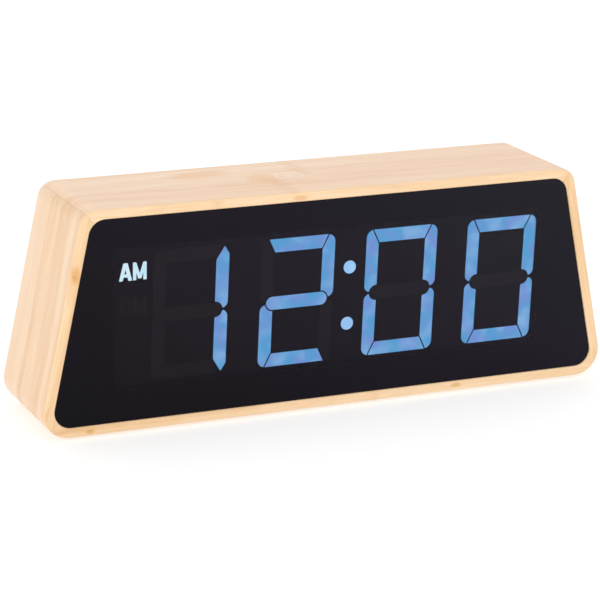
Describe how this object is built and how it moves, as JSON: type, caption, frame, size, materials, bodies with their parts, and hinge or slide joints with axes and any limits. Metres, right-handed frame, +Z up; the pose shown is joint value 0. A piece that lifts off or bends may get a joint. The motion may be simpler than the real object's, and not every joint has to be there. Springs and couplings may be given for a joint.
{
  "type": "digital alarm clock",
  "caption": "Digital alarm clock with a trapezoid mitred bamboo case, smoked lens over a segment display, and rear keys, slide switches, battery door and power socket.",
  "frame": {"origin": "centre of the footprint, on the surface that the feet stand on", "axes": "+Z up, the display faces -Y, and +X is to the right of someone who reads the display"},
  "size_m": [0.2132, 0.0466, 0.0794],
  "materials": {
    "bamboo": "satin clear lacquer over laminated bamboo",
    "smoked_lens": "glossy smoked acrylic",
    "adhesive_foam": "matt black foam tape",
    "black_abs": "fine spark-eroded texture",
    "mask_black": "matt black ink on film",
    "lit_blue": "lit diffuser film",
    "unlit_film": "unlit diffuser film",
    "indicator_blue": "lit diffuser film",
    "reflector_white": "moulded white",
    "circuit_green": "solder-masked laminate",
    "lamp_body": "clear resin over a white body",
    "chip_black": "moulded epoxy",
    "screw_steel": "zinc plated",
    "button_black": "satin",
    "switch_black": "moulded",
    "switch_case": "tinned steel",
    "cell_wrap": "plain shrink wrap",
    "nickel": "nickel plated spring steel",
    "capacitor_sleeve": "shrink sleeve",
    "crystal_can": "drawn can",
    "connector_white": "moulded nylon",
    "cable_grey": "flat ribbon insulation",
    "buzzer_black": "moulded",
    "buzzer_brass": "rolled sheet",
    "socket_black": "moulded",
    "copper_foil": "rolled copper foil",
    "foot_rubber": "matt"
  },
  "bodies": {
    "case": {"top_board": "bamboo", "bottom_board": "bamboo", "left_board": "bamboo", "right_board": "bamboo", "foot_pads": "foot_rubber", "front_lens": "smoked_lens", "lens_tape": "adhesive_foam", "inner_frame": "black_abs", "display_mask": "mask_black", "lit_segments": "lit_blue", "unlit_segments": "unlit_film", "colon_dots": "lit_blue", "am_indicator": "indicator_blue", "pm_indicator": "unlit_film", "display_reflector": "reflector_white", "display_board": "circuit_green", "segment_lamps": "lamp_body", "driver_chips": "chip_black", "display_screws": "screw_steel", "rear_cover": "black_abs", "cover_screws": "screw_steel", "battery_cells": "cell_wrap", "battery_contacts": "nickel", "battery_springs": "nickel", "push_switches": "switch_black", "slide_switches": "switch_case", "main_board": "circuit_green", "main_board_screws": "screw_steel", "board_chips": "chip_black", "capacitors": "capacitor_sleeve", "crystal": "crystal_can", "ribbon_sockets": "connector_white", "ribbon_cable": "cable_grey", "buzzer_housing": "buzzer_black", "buzzer_disc": "buzzer_brass", "power_jack": "socket_black", "power_pin": "nickel", "touch_foil": "copper_foil", "touch_spring": "nickel"},
    "time_key": {"time_button": "button_black", "time_plunger": "connector_white"},
    "alarm_key": {"alarm_button": "button_black", "alarm_plunger": "connector_white"},
    "minus_key": {"minus_button": "button_black", "minus_plunger": "connector_white"},
    "plus_key": {"plus_button": "button_black", "plus_plunger": "connector_white"},
    "alarm_switch": {"alarm_slider": "button_black", "alarm_lever": "switch_black"},
    "dimmer_switch": {"dimmer_slider": "button_black", "dimmer_lever": "switch_black"},
    "battery_cover": {"battery_door": "black_abs"}
  },
  "joints": [
    {"name": "time_press", "type": "slide", "parent": "case", "child": "time_key", "axis": [0, -1, 0], "range_m": [0, 0.0006], "stiffness_N_per_m": 1500, "springref_m": -0.0004},
    {"name": "alarm_press", "type": "slide", "parent": "case", "child": "alarm_key", "axis": [0, -1, 0], "range_m": [0, 0.0006], "stiffness_N_per_m": 1500, "springref_m": -0.0004},
    {"name": "minus_press", "type": "slide", "parent": "case", "child": "minus_key", "axis": [0, -1, 0], "range_m": [0, 0.0006], "stiffness_N_per_m": 1500, "springref_m": -0.0004},
    {"name": "plus_press", "type": "slide", "parent": "case", "child": "plus_key", "axis": [0, -1, 0], "range_m": [0, 0.0006], "stiffness_N_per_m": 1500, "springref_m": -0.0004},
    {"name": "alarm_slide", "type": "slide", "parent": "case", "child": "alarm_switch", "axis": [1, 0, 0], "range_m": [0, 0.004]},
    {"name": "dimmer_slide", "type": "slide", "parent": "case", "child": "dimmer_switch", "axis": [1, 0, 0], "range_m": [0, 0.004]},
    {"name": "battery_door_hinge", "type": "hinge", "parent": "case", "child": "battery_cover", "pos_m": [0, 0.02045, 0.0129], "axis": [-1, 0, 0], "range_deg": [0, 95]}
  ]
}
